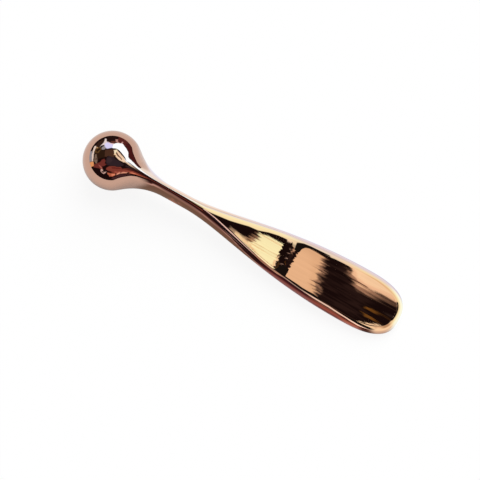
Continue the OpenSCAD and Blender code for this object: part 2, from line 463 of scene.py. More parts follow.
def bare_metal(name, colour, rough_low, rough_high, grain):
    """Unpolished metal whose shade and roughness vary with a fine grain."""
    material, tree, shader = new_material(name)
    shader.inputs["Metallic"].default_value = 1
    grey = noise(tree, lengthwise(tree, 1.0), grain, 4.0)
    tree.links.new(scaled(tree, grey, rough_low, rough_high), shader.inputs["Roughness"])
    ramp = tree.nodes.new("ShaderNodeValToRGB")
    ramp.color_ramp.elements[0].color = (*(0.8 * c for c in colour), 1)
    ramp.color_ramp.elements[1].color = (*colour, 1)
    tree.links.new(grey, ramp.inputs["Fac"])
    tree.links.new(ramp.outputs[0], shader.inputs["Base Color"])
    return material


polishing = polish_group()
ball_plating = plating("ball_rose_gold", polishing, 0.3, 0.1, 1e-6)
handle_plating = plating("handle_rose_gold", polishing, 1.0, 0.25, 0.6e-6)


# The wand

ball = build("polished_ball", *ball_surface(), -1, ball_plating)
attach(ball, "root")
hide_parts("ball")

handle = build("polished_handle", *handle_surface(), 1, handle_plating)
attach(handle, "root")
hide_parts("handle")

# The two pieces inside keep their solids and get bare metal
for node, material in (
    ("joint_pin", bare_metal("drawn_steel", (0.6, 0.6, 0.62), 0.25, 0.4, 3000)),
    ("braze_filler", bare_metal("silver_filler", (0.78, 0.77, 0.74), 0.35, 0.55, 2000)),
):
    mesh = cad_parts[node].data
    mesh.materials.clear()
    mesh.materials.append(material)


# Camera

# The photo's width in pixels, where the ball's middle is in it, and the ball's radius
PICTURE = 480
BALL_PIXEL = (112.6, 160.6)
BALL_PIXEL_R = 30
PIXEL_MM = BALL_R / BALL_PIXEL_R

# The camera's angle from straight down, its turn from the wand's axis, and in millimetres its
# distance and its film's width
TILT = radians(12.3)
TURN = radians(28.85)
DISTANCE = 500.0
FILM = 36

right = np.array([cos(TURN), sin(TURN), 0])
ahead = np.array([-sin(TURN), cos(TURN), 0])
overhead = np.array([0, 0, 1.0])
back = cos(TILT) * overhead - sin(TILT) * ahead
up = cos(TILT) * ahead + sin(TILT) * overhead
target = (np.array([SHIFT, 0, BALL_R]) - (BALL_PIXEL[0] - PICTURE / 2) * PIXEL_MM * right
          - (PICTURE / 2 - BALL_PIXEL[1]) * PIXEL_MM * up)

camera = bpy.data.objects.new("camera", bpy.data.cameras.new("camera"))
bpy.context.collection.objects.link(camera)
camera.matrix_world = Matrix.Translation((target + DISTANCE * back) * MM) @ Matrix(
    np.stack([right, up, back], 1).tolist()).to_4x4()
camera.data.sensor_width = FILM
camera.data.lens = FILM * DISTANCE / (PICTURE * PIXEL_MM)
camera.data.clip_start = 0.01
camera.data.clip_end = 20
bpy.context.scene.camera = camera


# Table, light and room

# The table's own light, to the camera and in mirrors, and its colour to all but the camera
TABLE_OWN_LIGHT = 0.88
TABLE_MIRRORED_LIGHT = 0.2
TABLE_COLOUR = (0.58, 0.575, 0.57)


def ray_kinds(tree):
    """Two masks: for rays straight from the camera or through glass, and for rays off a mirror."""
    path = tree.nodes.new("ShaderNodeLightPath").outputs
    direct = math_node(tree, "MAXIMUM", path["Is Camera Ray"], path["Is Transmission Ray"])
    return direct, path["Is Glossy Ray"]


def table_white():
    """The table's matt white. It shows white to the camera and pale in the metal, with the wand's
    shadow on it in both, by a part of its light that is its own."""
    material, tree, shader = new_material("table_white")
    shader.inputs["Roughness"].default_value = 1
    shader.inputs["Specular IOR Level"].default_value = 0
    shader.inputs["Emission Color"].default_value = (1, 1, 1, 1)
    direct, glossy = ray_kinds(tree)
    seen = math_node(tree, "MULTIPLY", direct, TABLE_OWN_LIGHT)
    mirrored = math_node(tree, "MULTIPLY", glossy, TABLE_MIRRORED_LIGHT)
    tree.links.new(math_node(tree, "ADD", seen, mirrored), shader.inputs["Emission Strength"])
    mix = tree.nodes.new("ShaderNodeMix")
    mix.data_type = "RGBA"
    mix.inputs["A"].default_value = (*TABLE_COLOUR, 1)
    mix.inputs["B"].default_value = (1 - TABLE_OWN_LIGHT, 1 - TABLE_OWN_LIGHT, 1 - TABLE_OWN_LIGHT, 1)
    tree.links.new(direct, mix.inputs["Factor"])
    tree.links.new(mix.outputs["Result"], shader.inputs["Base Color"])
    return material


white = table_white()


def only_in_mirrors(obj):
    """The object, hidden from all rays but those off a mirror."""
    for kind in ("camera", "diffuse", "shadow", "transmission", "volume_scatter"):
        setattr(obj, "visible_" + kind, False)
    return obj


def table_top(radius=1.6, count=128):
    """A round pale table that all but mirrors see: count corners on a circle, in metres."""
    a = np.linspace(0, 2 * pi, count, endpoint=False)
    rim = np.stack([radius * np.cos(a), radius * np.sin(a), 0 * a], -1)
    obj = mesh_object("table_top", rim, [list(range(count))], white)
    obj.visible_glossy = False
    return obj


def table_near(margin=90, count=96):
    """The part of the table that mirrors see: out to a margin round the wand, in millimetres, so
    two half circles about the wand's ends and straight edges between them."""
    a = np.linspace(0, 2 * pi, count, endpoint=False)
    x = np.where(np.cos(a) > 0, TIP_X + SHIFT, SHIFT) + margin * np.cos(a)
    rim = np.stack([x, margin * np.sin(a), 0 * a + 0.01], -1) * MM
    return only_in_mirrors(mesh_object("table_near", rim, [list(range(count))], white))


# What the wand mirrors: soft-edged panels, each given by its corners in degrees from straight
# up, (towards the camera's right, away from the camera), how soft its edge is, and its light
ROOM_DARK = (0.014, 0.007, 0.009)
PANELS = [
    ("oak_wall", [(-72, 34), (-50, 40), (-34, 29), (-27, 24), (-27, 0), (-52, -3), (-59, -13), (-73, -9)],
     6, (0.035, 0.024, 0.015)),
    ("top_left_black", [(-65, 58), (-52, 70), (-34, 79), (-27, 83), (-31, 69), (-38, 57), (-47, 48),
     (-57, 44)], 3, (0.045, 0.03, 0.024)),
    ("top_black", [(-25, 82), (-6, 93), (15, 89), (13, 73), (12, 56), (0, 58), (-9, 62), (-20, 69)], 3,
     (0.022, 0.013, 0.015)),
    ("top_brown", [(-9, 66), (11, 67), (13, 56), (0, 57)], 3, (0.16, 0.08, 0.07)),
    ("left_gilt", [(-64, 44), (-55, 47), (-43, 41), (-39, 33), (-51, 21), (-67, 26)], 4,
     (0.16, 0.125, 0.05)),
    ("left_gilt_dark", [(-62, 36), (-47, 40), (-43, 32), (-53, 28), (-58, 23)], 3, (0.03, 0.02, 0.012)),
    ("left_gilt_spot", [(-61, 49), (-55, 47), (-54, 41), (-61, 43)], 2.5, (0.72, 0.66, 0.42)),
    ("grey_arc", [(-67, 18), (-59, 19), (-59, 5), (-58, -10), (-60, -20), (-67, -20), (-73, -9),
     (-70, 5)], 3, (0.26, 0.27, 0.25)),
    ("grey_arc_dark", [(-66, 1), (-59, 1), (-60, -5), (-66, -5)], 2, (0.12, 0.1, 0.08)),
    ("blue_strip", [(-95, 39), (-81, 39), (-80, 16), (-83, -6), (-98, -3), (-98, 18)], 3,
     (0.38, 0.56, 0.8)),
    ("white_strip", [(-68, 56), (-61, 54), (-62, 46), (-69, 33), (-73, 18), (-75, 5), (-78, -7),
     (-84, -4), (-82, 17), (-77, 37)], 3, (1.05, 1.32, 1.45)),
    ("orange_lamp", [(-96, -5), (-78, -8), (-77, -18), (-79, -27), (-95, -25)], 3, (1, 0.66, 0.34)),
    ("brown_panel", [(-26, 27), (4, 30), (7, 16), (10, 0), (-5, 1), (-13, 5), (-21, 1), (-27, 2)], 3,
     (0.095, 0.062, 0.045)),
    ("navy_wall", [(-20, -2), (-11, 4), (7, -1), (19, -11), (39, -21), (48, -27), (44, -34), (25, -37),
     (3, -34), (-19, -31), (-24, -14)], 4, (0.038, 0.033, 0.054)),
    ("navy_lit", [(-18, -5), (-5, -3), (4, -14), (-8, -23), (-19, -21)], 6, (0.055, 0.047, 0.07)),
    ("red_cloth", [(-66, -22), (-58, -18), (-47, -17), (-40, -9), (-30, -5), (-24, -13), (-27, -23),
     (-22, -28), (-32, -34), (-42, -33), (-38, -42), (-49, -43), (-57, -40), (-71, -34), (-79, -32),
     (-77, -19)], 3.5, (0.21, 0.062, 0.062)),
    ("red_cloth_lit", [(-56, -24), (-48, -29), (-39, -41), (-44, -43), (-52, -32)], 2.5,
     (0.5, 0.22, 0.22)),
    ("white_specks", [(-46, -43), (-37, -47), (-39, -55), (-31, -57), (-23, -56), (-27, -61), (-36, -65),
     (-44, -59), (-50, -52)], 2.5, (0.8, 0.78, 0.85)),
    ("dark_specks", [(-44, -50), (-38, -55), (-33, -60), (-39, -59), (-45, -55)], 2, (0.04, 0.02, 0.03)),
    ("red_wall", [(-24, -42), (-8, -35), (4, -36), (25, -38), (36, -38), (40, -46), (38, -56), (30, -64),
     (14, -66), (-12, -56), (-24, -48)], 4, (0.28, 0.09, 0.075)),
    ("red_wall_line", [(-2, -41), (20, -41), (38, -43), (37, -46), (18, -45), (0, -45)], 2.5,
     (0.15, 0.025, 0.025)),
    ("red_wall_dark", [(-22, -50), (-7, -54), (2, -58), (-9, -58), (-21, -53)], 2.5, (0.06, 0.01, 0.012)),
    ("red_wall_lit", [(10, -55), (33, -57), (34, -62), (24, -65), (10, -62)], 3, (0.46, 0.16, 0.13)),
    ("glow_a", [(-21, -59), (-7, -64), (10, -64), (15, -72), (2, -78), (-11, -77), (-19, -68)], 3,
     (0.62, 0.24, 0.16)),
    ("glow_a_core", [(-3, -68), (9, -66), (14, -72), (4, -74), (-3, -74)], 3, (1.02, 0.52, 0.38)),
    ("glow_b", [(20, -64), (30, -63), (31, -68), (27, -72), (18, -73)], 3, (1.0, 0.64, 0.54)),
    ("purple_shade", [(18, -79), (28, -73), (30, -68), (35, -70), (38, -80), (13, -91), (-7, -90),
     (3, -80)], 3, (0.075, 0.04, 0.055)),
    ("pink_top", [(11, 77), (22, 77), (20, 66), (29, 58), (23, 54), (12, 64)], 3, (0.62, 0.5, 0.55)),
    ("top_dark_red", [(22, 66), (44, 50), (62, 52), (60, 76), (40, 92), (20, 92)], 4,
     (0.13, 0.04, 0.042)),
    ("side_dark_red", [(56, 32), (70, 2), (90, 10), (86, 34), (70, 66), (50, 66)], 5,
     (0.085, 0.022, 0.026)),
    ("pink_tick", [(31, 59), (36, 69), (41, 69), (35, 56)], 2, (0.75, 0.62, 0.75)),
    ("window_left", [(-47, 45), (-31, 63), (-28, 81), (-25, 81), (-21, 69), (-17, 62), (-19, 52),
     (-30, 51), (-39, 50)], 3, (1.05, 1.4, 1.75)),
    ("window_grey", [(-38, 31), (-39, 41), (-30, 46), (-25, 51), (-19, 50), (-20, 39), (-27, 30)], 3,
     (0.4, 0.56, 0.75)),
    ("window_lilac", [(-28, 56), (-17, 61), (-6, 57), (3, 54), (3, 45), (9, 36), (-8, 34), (-19, 33),
     (-25, 39)], 4, (0.95, 1.45, 2.75)),
    ("window_pink_edge", [(-17, 64), (-7, 58), (3, 55), (13, 53), (13, 50), (2, 51), (-11, 57)], 3,
     (1.2, 1.3, 1.6)),
    ("window_white", [(2, 35), (18, 33), (28, 27), (37, 14), (47, 2), (52, -10), (66, -24), (84, -6),
     (66, 10), (62, 28), (50, 46), (36, 60), (20, 58), (4, 52)], 3, (1.45, 2.4, 3.2)),
    ("curtain", [(7, 27), (14, 28), (24, 23), (34, 12), (46, 1), (58, -18), (44, -17), (28, -11), (14, 2),
     (9, 12)], 3, (1.2, 1.36, 1.22)),
    ("curtain_fold", [(11, 26), (16, 24), (25, 10), (40, -6), (38, -9), (21, 5), (13, 15)], 1.5,
     (0.22, 0.17, 0.13)),
    ("sill", [(4, 32), (14, 31.5), (25, 27.5), (36, 19.5), (47, 6), (58, -7), (57, -9.5), (45.5, 2),
     (33, 16.5), (21, 24.5), (9, 28.5)], 1.5, (0.035, 0.016, 0.016)),
    ("cream_glow", [(8, 9), (13, 12), (18, 22), (20, 28), (14, 30), (10, 22)], 5, (1.25, 1.75, 1.55)),
]

# The small part of the room that the wand's flat faces mirror: panels with their corners in
# degrees (along, across) the wand, how soft the edge is along and across, how ragged it runs, how
# much of the panel breaks up in streaks, and its light
ALONG = np.array([cos(TURN), -sin(TURN)])
ACROSS = np.array([sin(TURN), cos(TURN)])
TAN = (1.05, 0.93, 0.65)
CREAM = (1.36, 1.9, 1.38)
FLAT_PANELS = [
    ("cream_over", [(2, 12.62), (6.5, 12.6), (13, 12.1), (13.5, 16), (2, 17)], 0.1, 0.1, 0, 0,
     (1.26, 1.38, 1.06)),
    ("shade", [(3.2, 9.2), (11.9, 9.2), (11.9, 12.1), (10.6, 11.95), (9, 11.95), (7.6, 12.2),
     (6.8, 12.42), (3.2, 12.5)], 0.05, 0.05, 0, 0, (0.012, 0.007, 0.008)),
    ("grey_glints", [(3.9, 9.6), (6.6, 9.6), (6.8, 11.4), (5.6, 11.9), (4.6, 12.3), (3.9, 12.2)], 0.3,
     0.2, 0.3, 1.0, (0.03, 0.02, 0.02)),
    ("tan_reach", [(3, 9.62), (4.38, 9.55), (4.24, 9.9), (4.06, 10.3), (4.03, 10.9), (4.07, 11.4),
     (4.0, 11.9), (3.88, 12.15), (3, 12.2)], 0.16, 0.04, 0.22, 0.7, (0.52, 0.42, 0.32)),
    ("tan", [(3, 9.62), (4.26, 9.55), (4.1, 9.8), (3.92, 10.2), (3.9, 10.6), (3.91, 11.2), (3.88, 11.6),
     (3.87, 11.95), (3.82, 12.13), (3.7, 12.24), (3, 12.24)], 0.09, 0.035, 0.13, 0, TAN),
    ("tan_pale", [(3, 9.6), (3.9, 9.6), (3.8, 10.4), (3.67, 11.5), (3.62, 12), (3, 12)], 0.1, 0.5, 0.05,
     0, (1.1, 1.0, 0.72)),
    ("streaks_far", [(4.8, 12.3), (5.2, 11.95), (5.6, 11.55), (6.1, 11.2), (6.7, 11.25), (6.95, 11.7),
     (7.0, 12.2)], 0.35, 0.08, 0.35, 0.9, (0.55, 0.44, 0.33)),
    ("cream_far", [(4.97, 12.6), (4.99, 12.43), (5.24, 12.25), (5.5, 12.03), (5.85, 11.88), (6.2, 11.78),
     (6.45, 11.74), (6.66, 11.82), (6.83, 11.91), (6.95, 11.87), (7.3, 11.84), (7.4, 12.8)], 0.12, 0.04,
     0.2, 0, (1.2, 1.11, 0.85)),
    ("cream_far_lit", [(5.1, 12.6), (5.3, 12.4), (5.7, 12.12), (6.2, 12.0), (6.6, 12.05), (7.3, 12.2),
     (7.4, 12.8)], 0.15, 0.12, 0.1, 0, (1.3, 1.35, 1.05)),
    ("streak_a", [(5.3, 11.88), (5.75, 11.8), (6.3, 11.76), (6.3, 11.8), (5.75, 11.86)], 0.25, 0.05,
     0.1, 0, (0.35, 0.22, 0.14)),
    ("streak_b", [(5.45, 11.66), (5.9, 11.58), (6.5, 11.62), (6.5, 11.67), (5.9, 11.7)], 0.25, 0.05, 0.1,
     0, (1.1, 1.02, 0.75)),
    ("streak_c", [(5.5, 11.47), (5.9, 11.44), (6.4, 11.46), (6.4, 11.49), (5.9, 11.51)], 0.3, 0.05, 0.1,
     0, (0.55, 0.42, 0.32)),
    ("amber_a", [(6.66, 10.56), (6.8, 10.66), (6.97, 10.6), (6.97, 10.5), (6.75, 10.45)], 0.1, 0.05,
     0.1, 0.3, (0.26, 0.15, 0.03)),
    ("amber_b", [(6.58, 10.15), (6.75, 10.18), (6.94, 10.14), (6.94, 10.06), (6.7, 9.96)], 0.1, 0.05,
     0.1, 0.3, (0.24, 0.14, 0.03)),
    ("cream_near", [(6.7, 9.44), (6.85, 9.57), (6.95, 9.74), (7.0, 9.86), (7.03, 9.96), (7.06, 10.03),
     (7.06, 9.2), (6.7, 9.2)], 0.03, 0.07, 0, 0, (1.28, 1.34, 1.02)),
    ("taper_reach", [(11.1, 10.6), (11.27, 10.8), (11.36, 11.0), (11.46, 11.15), (11.56, 11.3),
     (11.64, 11.48), (11.78, 11.52), (11.78, 10.4), (11.2, 10.45)], 0.12, 0.06, 0.22, 0.6,
     (0.48, 0.39, 0.28)),
    ("taper_edge", [(10.35, 10.9), (10.6, 10.83), (10.95, 10.74), (10.95, 9.2), (10.35, 9.2)], 0.15, 0.05,
     0.15, 0.3, (0.58, 0.58, 0.46)),
    ("taper_cream", [(11.63, 11.5), (11.73, 11.6), (11.82, 11.66), (12.3, 11.66), (12.3, 9.2),
     (10.95, 9.2), (10.9, 10.72), (11.2, 10.6), (11.44, 10.54), (11.52, 10.64), (11.57, 10.8),
     (11.58, 11.0), (11.61, 11.25)], 0.07, 0.04, 0.1, 0, CREAM),
    ("taper_tan", [(10.7, 9.2), (10.7, 10.72), (11.25, 10.66), (11.5, 10.5), (11.85, 10.0), (11.9, 9.2)],
     0.1, 0.25, 0.05, 0, (1.26, 1.34, 0.95)),
    ("taper_line_a", [(11.45, 10.79), (11.9, 10.78), (11.9, 10.73), (11.45, 10.73)], 0.2, 0.04, 0.1, 0,
     (0.78, 0.58, 0.28)),
    ("taper_line_b", [(11.5, 10.62), (11.9, 10.59), (11.9, 10.55), (11.5, 10.58)], 0.2, 0.05, 0.1, 0,
     (1.12, 1.05, 0.6)),
    ("taper_line_c", [(11.63, 11.47), (11.9, 11.5), (11.9, 11.45), (11.63, 11.42)], 0.15, 0.05, 0.1, 0,
     (1.0, 0.85, 0.48)),
    ("taper_arc", [(11.52, 10.48), (11.66, 10.26), (11.78, 10.08), (11.85, 10.0), (11.85, 9.95),
     (11.76, 10.02), (11.63, 10.2), (11.49, 10.44)], 0.03, 0.04, 0.02, 0, (1.1, 1.0, 0.55)),
    ("speck_a", [(7.2, 11.54), (8.3, 11.54), (8.3, 11.6), (7.2, 11.6)], 0.3, 0.06, 0, 0,
     (0.5, 0.46, 0.44)),
    ("speck_b", [(7.2, 11.17), (8.3, 11.17), (8.3, 11.23), (7.2, 11.23)], 0.3, 0.06, 0, 0,
     (0.42, 0.38, 0.36)),
    ("speck_c", [(7.15, 10.83), (8.1, 10.83), (8.1, 10.92), (7.15, 10.92)], 0.3, 0.06, 0, 0,
     (0.55, 0.52, 0.5)),
    ("speck_d", [(7.2, 10.31), (8.3, 10.31), (8.3, 10.37), (7.2, 10.37)], 0.3, 0.06, 0, 0,
     (0.4, 0.36, 0.33)),
    ("brown_fleck", [(8.4, 9.9), (9.6, 9.85), (9.8, 10.3), (8.8, 10.35)], 0.4, 0.1, 0.3, 0.5,
     (0.1, 0.07, 0.03)),
]


def painted(light, colour, part):
    """A light with another laid over it, as far as part says: 0 is none of it, and 1 all."""
    part = part[..., None]
    return light * (1 - part) + part * colour


def panel_cover(x, y, corners_at, soft_x, soft_y):
    """1 inside a polygon, 0 outside, easing over soft_x and soft_y degrees about its edge: by the
    distance to the nearest side, and by how often a line to the side crosses the outline."""
    x, y = x / soft_x, y / soft_y
    corners_at = [(a / soft_x, b / soft_y) for a, b in corners_at]
    distance = np.full(x.shape, 1e9)
    inside = np.zeros(x.shape, bool)
    for (ax, ay), (bx, by) in zip(corners_at, corners_at[1:] + corners_at[:1]):
        ex, ey = bx - ax, by - ay
        t = np.clip(((x - ax) * ex + (y - ay) * ey) / (ex * ex + ey * ey), 0, 1)
        distance = np.minimum(distance, np.hypot(x - ax - t * ex, y - ay - t * ey))
        crosses = ((ay > y) != (by > y)) & (x < ex * (y - ay) / (ey or 1e-9) + ax)
        inside ^= crosses
    return smooth_step(np.where(inside, distance, -distance), -0.5, 0.5)


def streaky(along, across, long, fine, seed):
    """Smooth random values from -1 to 1, drawn out along the wand: seeded values on a lattice of
    cells long by fine, eased between."""
    values = np.random.default_rng(seed).uniform(-1, 1, 4096)
    i, j = np.floor(along / long).astype(int), np.floor(across / fine).astype(int)
    p, q = smooth_step(along / long - i, 0, 1), smooth_step(across / fine - j, 0, 1)

    def value(di, dj):
        return values[((i + di) * 131 + (j + dj) * 57) % len(values)]

    before = value(0, 0) * (1 - q) + value(0, 1) * q
    after = value(1, 0) * (1 - q) + value(1, 1) * q
    return before * (1 - p) + after * p


def room_light(x, y):
    """The light that comes from each direction of the room: the panels in turn, each over those
    before it, with outlines that waver, and the flat faces' own part in finer ones."""
    light = np.ones(x.shape + (3,)) * ROOM_DARK
    wx = x + 1.1 * streaky(x, y, 7.0, 6.0, 11) + 0.5 * streaky(x, y, 2.6, 2.3, 12)
    wy = y + 1.1 * streaky(x, y, 6.5, 7.0, 13) + 0.5 * streaky(x, y, 2.4, 2.7, 14)
    for _, corners_at, soft, colour in PANELS:
        light = painted(light, colour, panel_cover(wx, wy, corners_at, soft, soft))
    along, across = x * ALONG[0] + y * ALONG[1], x * ACROSS[0] + y * ACROSS[1]
    near = (along > 1) & (along < 14) & (across > 8) & (across < 18)
    u, v = along[near], across[near]
    ragged = streaky(u, v, 0.9, 0.09, 1) + 0.6 * streaky(u, v, 0.6, 0.045, 2)
    patch = light[near]
    for k, (_, corners_at, soft_u, soft_v, rag, broken, colour) in enumerate(FLAT_PANELS):
        cover = panel_cover(u + rag * ragged, v, corners_at, soft_u, soft_v)
        cover = cover * (1 - broken * smooth_step(streaky(u, v, 0.8, 0.06, 20 + k), -0.5, 0.5))
        patch = painted(patch, colour, cover)
    grain = 1 + 0.05 * streaky(u, v, 1.5, 0.05, 3) + 0.04 * streaky(u, v, 0.7, 0.4, 4)
    light[near] = patch * grain[..., None]
    return light


def glow_material():
    """Light that a surface's colour attribute gives, let through where its alpha is low."""
    material, tree, _ = new_material("room_light")
    material.cycles.emission_sampling = "NONE"
    tree.nodes.clear()
    read = tree.nodes.new("ShaderNodeAttribute")
    read.attribute_name = "light"
    lit = tree.nodes.new("ShaderNodeEmission")
    clear = tree.nodes.new("ShaderNodeBsdfTransparent")
    mix = tree.nodes.new("ShaderNodeMixShader")
    out = tree.nodes.new("ShaderNodeOutputMaterial")
    tree.links.new(read.outputs["Color"], lit.inputs["Color"])
    tree.links.new(read.outputs["Alpha"], mix.inputs["Fac"])
    tree.links.new(clear.outputs[0], mix.inputs[1])
    tree.links.new(lit.outputs[0], mix.inputs[2])
    tree.links.new(mix.outputs[0], out.inputs["Surface"])
    return material


glow = glow_material()


def glow_sheet(name, points, light, faces):
    """A sheet of light that only mirrors see, from points in metres and a light for each."""
    obj = mesh_object(name, points, faces, glow)
    paint = obj.data.attributes.new("light", "FLOAT_COLOR", "POINT")
    rgba = np.ones((points.size // 3, 4))
    rgba[:, :light.shape[-1]] = light.reshape(-1, light.shape[-1])
    paint.data.foreach_set("color", rgba.ravel().astype(np.float32))
    return only_in_mirrors(obj)


def sheet_faces(rows, columns):
    """Quads between the rows and the columns of a grid that is open all round."""
    index = np.arange(rows * columns).reshape(rows, columns)
    quads = np.stack([index[:-1, :-1], index[1:, :-1], index[1:, 1:], index[:-1, 1:]], -1)
    return quads.reshape(-1, 4).tolist()


def towards(x, y):
    """The direction that x and y degrees from straight up stand for."""
    polar, azimuth = np.radians(np.hypot(x, y))[..., None], np.arctan2(y, x)[..., None]
    return np.sin(polar) * (np.cos(azimuth) * right + np.sin(azimuth) * ahead) + np.cos(polar) * overhead


def room(radius=40.0, spokes=720):
    """A dome of light all round, in rings from straight up to below the table's edge, closer
    together in the part that the flat faces mirror."""
    polar = np.concatenate([np.arange(0.1, 30, 0.25), np.arange(30, 112, 0.75)])[:, None]
    azimuth = 2 * pi * np.arange(spokes) / spokes
    x, y = polar * np.cos(azimuth), polar * np.sin(azimuth)
    index = np.arange(x.size).reshape(x.shape)
    faces = grid_faces(index).tolist() + [index[0].tolist()]
    return glow_sheet("room", radius * towards(x, y), room_light(x, y), faces)


def room_patch(radius=39.0):
    """The part of the dome that the flat faces mirror, again and finer."""
    u, v = np.meshgrid(np.arange(2.5, 12.8, 0.025), np.arange(8.8, 14, 0.035), indexing="ij")
    x, y = u * ALONG[0] + v * ACROSS[0], u * ALONG[1] + v * ACROSS[1]
    return glow_sheet("room_patch", radius * towards(x, y), room_light(x, y), sheet_faces(*u.shape))


def side_line(start, count=500):
    """The wand's outline on the table, from start along the +Y side, round the tip and back, in
    its own axes: x, y, and the outward normal."""
    x, y = (v[:count] for v in outline(count))
    nx, ny = unit(np.stack([-np.gradient(y), np.gradient(x)], -1)).T
    sides = [(v[x > start], sign) for v, sign in ((x, 1), (y, -1), (nx, 1), (ny, -1))]
    return [np.concatenate([v, sign * v[-2::-1]]) for v, sign in sides]


def by_place(place, stops):
    """A colour that changes along a place: stops are (place, colour), eased between."""
    light = np.ones(place.shape + (3,)) * stops[0][1]
    for (start, _), (end, colour) in zip(stops[:-1], stops[1:]):
        light = painted(light, colour, smooth_step(place, start, end))
    return light


def clear_edged(name, points, light, alpha):
    """A sheet of light on a grid of points in metres, let through where alpha is low."""
    rgba = np.concatenate([light, alpha[..., None]], -1)
    return glow_sheet(name, points, rgba, sheet_faces(*alpha.shape))


# The trough round the wand on the table, from the wand's edge outwards and up: (the number that
# colours across it go by, how far out it is there, at what part of its height)
TROUGH = np.array([(0, 0.1, 0), (1, 1.2, 0), (2, 2.4, 0), (3, 3.6, 0.02), (4, 4.4, 0.08), (5, 4.9, 0.2),
                   (5.6, 5, 0.35), (6.2, 5, 0.5), (6.8, 5, 0.65), (7.3, 5, 0.8), (8, 5, 1.0)])

# How high over the table its foot is
TROUGH_FOOT = 0.05

# How much higher than the wand's top its wall is on the +Y side: (place along the wand, height)
BRIGHT_WALL = [(4.5, -4), (5.5, -0.5), (7, 2.8), (9.2, 5.3), (16, 5.5), (20, 2.2), (26, 0.2)]

# The window's gleam, on the +Y side: (number across, colour)
BRIGHT_ROOT = [(0, (0.85, 0.9, 1.05)), (4, (1.0, 1.15, 1.35)), (6.5, (1.2, 1.6, 1.8)),
               (8, (1.15, 1.55, 1.7))]
BRIGHT_NECK = [(0, (1.05, 1.3, 1.45)), (4, (1.08, 1.27, 1.36)), (5.3, (1.28, 1.56, 1.72)),
               (8, (0.98, 1.2, 1.14))]
BRIGHT_BLADE = [(0, (0.86, 1.15, 1.6)), (4, (0.82, 1.06, 1.52)), (5.5, (1.13, 1.5, 2.03)),
                (8, (1.1, 1.46, 1.95))]

# The wand's shade, on the -Y side: beside the neck a pale line, with brown below it by the
# number across and black over it by the part of the height beyond it, and then by numbers across
LINE_RISE = [(9, 0.36), (11.6, 0.4), (14.8, 0.44), (18, 0.43), (21.2, 0.45), (25.4, 0.57), (29.7, 0.66),
             (31.8, 0.42), (34, 0.17), (37, 0.05)]
LINE_LEVEL = [(6, 0.6), (8, 1.5), (10, 1.5), (12, 1)]
LINE_WIDTH = 0.075
LINE_COLOUR = (0.4, 0.36, 0.39)
SHADE_BELOW = [(0, (0.22, 0.165, 0.13)), (3, (0.22, 0.165, 0.135)), (8, (0.24, 0.17, 0.14))]
SHADE_OVER = [(0, (0.18, 0.1, 0.1)), (0.12, (0.09, 0.035, 0.04)), (0.3, (0.035, 0.014, 0.016))]
SHADE_MID = [(0, (0.4, 0.35, 0.42)), (3.5, (0.33, 0.24, 0.29)), (4.4, (0.33, 0.21, 0.25)),
             (5.4, (0.35, 0.18, 0.19)), (6.1, (0.16, 0.06, 0.07)), (7, (0.06, 0.012, 0.02)),
             (8, (0.05, 0.01, 0.015))]
SHADE_BLADE = [(0, (0.34, 0.28, 0.33)), (3.4, (0.26, 0.16, 0.18)), (4.4, (0.19, 0.065, 0.06)),
               (5.5, (0.45, 0.18, 0.16)), (6.2, (0.31, 0.105, 0.085)), (7.1, (0.29, 0.15, 0.11)),
               (8, (0.2, 0.1, 0.08))]
SHADE_END = [(0, (0.5, 0.42, 0.48)), (3.8, (0.5, 0.3, 0.3)), (4.6, (0.65, 0.3, 0.26)),
             (5.6, (0.4, 0.17, 0.12)), (6.7, (0.07, 0.02, 0.02)), (8, (0.05, 0.015, 0.015))]

# A painted red reflection low down in the mirrored shade beside the neck: its place along the
# wand, its length and its colour
RED_REFLECTION_X = 14.8
RED_REFLECTION_LEN = 1.3
RED_REFLECTION_COLOUR = (0.3, 0.12, 0.09)

# Before the tip, on the +Y side and on the other: (number across, colour)
TIP_BRIGHT = [(0, (1.3, 2.05, 2.5)), (4, (1.32, 2.1, 2.4)), (8, (1.36, 2.15, 2.1))]
TIP_LOW = [(0, (0.6, 0.6, 0.6)), (4, (0.85, 0.84, 0.74)), (8, (1.26, 1.32, 1.06))]


def trough_gleam(x, across):
    """The light on the +Y side: the ball's end of the neck, the neck, then the blade."""
    light = painted(by_place(across, BRIGHT_NECK), by_place(across, BRIGHT_ROOT), 1 - smooth_step(x, 8, 13))
    return painted(light, by_place(across, BRIGHT_BLADE), smooth_step(x, 22, 46))


def trough_shade(x, across, rise):
    """The light on the -Y side: the painted brown and black shade beside the neck, with a pale line
    between them and a painted red reflection low down, then the painted shades beside the middle,
    the blade and its end."""
    beyond = rise - between(x, LINE_RISE)
    line = np.exp(-(beyond / LINE_WIDTH) ** 2) * between(x, LINE_LEVEL)
    below, over = by_place(across, SHADE_BELOW), by_place(beyond, SHADE_OVER)
    light = painted(below, over, smooth_step(beyond, -0.05, 0.05))
    # A painted red reflection, low down in the shade beside the neck and broken up in streaks
    red_reflection = np.exp(-((x - RED_REFLECTION_X) / RED_REFLECTION_LEN) ** 2) * (1 - smooth_step(across, 3, 4))
    red_reflection = red_reflection * smooth_step(streaky(x, across, 0.9, 1.2, 7), -0.3, 0.4)
    light = light + line[..., None] * LINE_COLOUR + red_reflection[..., None] * RED_REFLECTION_COLOUR
    end_light = by_place(across, SHADE_END)
    for start, end, after in (
        (36, 41, by_place(across, SHADE_MID)),
        (49, 54, by_place(across, SHADE_BLADE)),
        (57, 60, end_light),
        (62, 64, 0.2 * end_light),
    ):
        light = painted(light, after, smooth_step(x, start, end))
    return light


